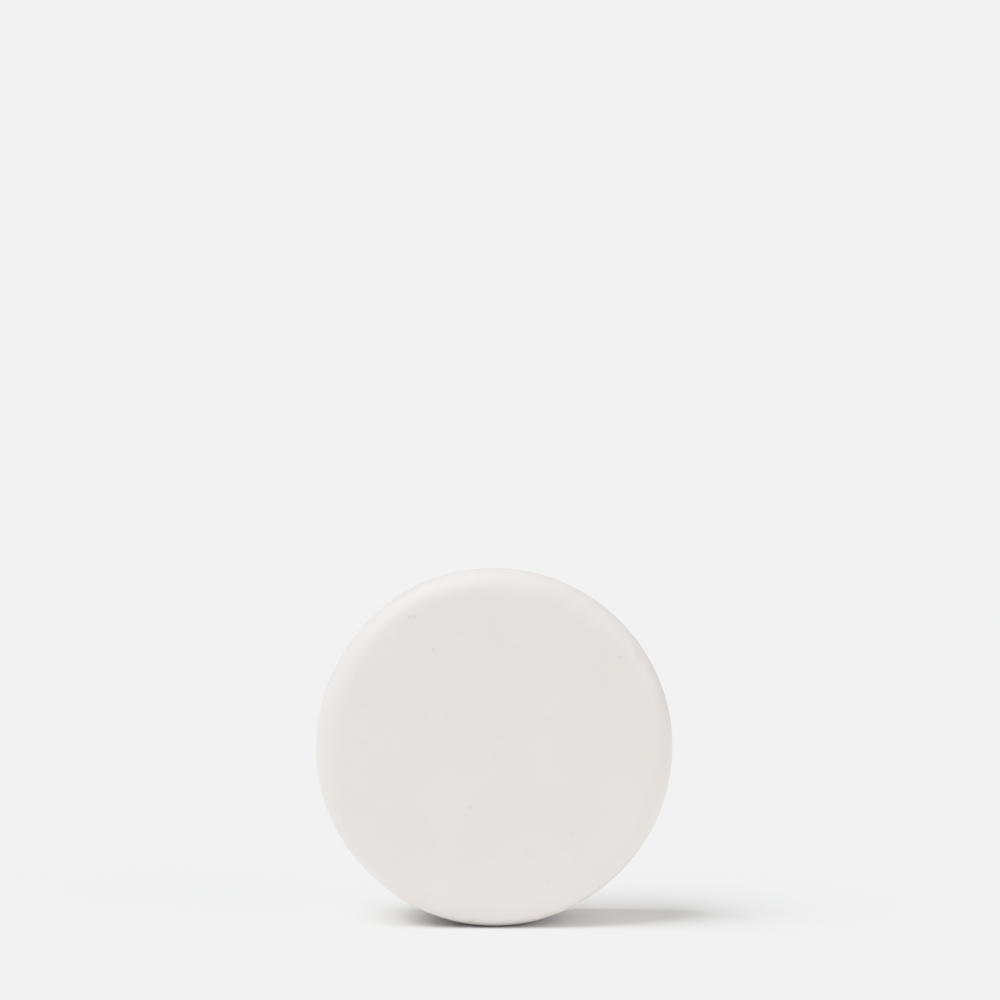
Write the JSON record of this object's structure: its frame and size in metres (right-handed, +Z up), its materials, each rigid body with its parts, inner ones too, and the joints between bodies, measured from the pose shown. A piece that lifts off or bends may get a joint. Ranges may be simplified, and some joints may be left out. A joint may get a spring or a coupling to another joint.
{
  "type": "shaving soap puck",
  "caption": "Round puck of hard white shaving soap with rounded edges and faintly dished faces, standing on its side wall; it drops into a shaving bowl or mug.",
  "frame": {"origin": "the point under the puck's centre where its side wall meets the surface that it stands on", "axes": "+Y along the puck's own axis, from the front face to the back face; +Z up, across the diameter; +X to the right as the front face is seen"},
  "size_m": [0.06, 0.022, 0.06],
  "materials": {
    "soap": "satin"
  },
  "bodies": {
    "root": {"soap_puck": "soap"}
  },
  "joints": []
}
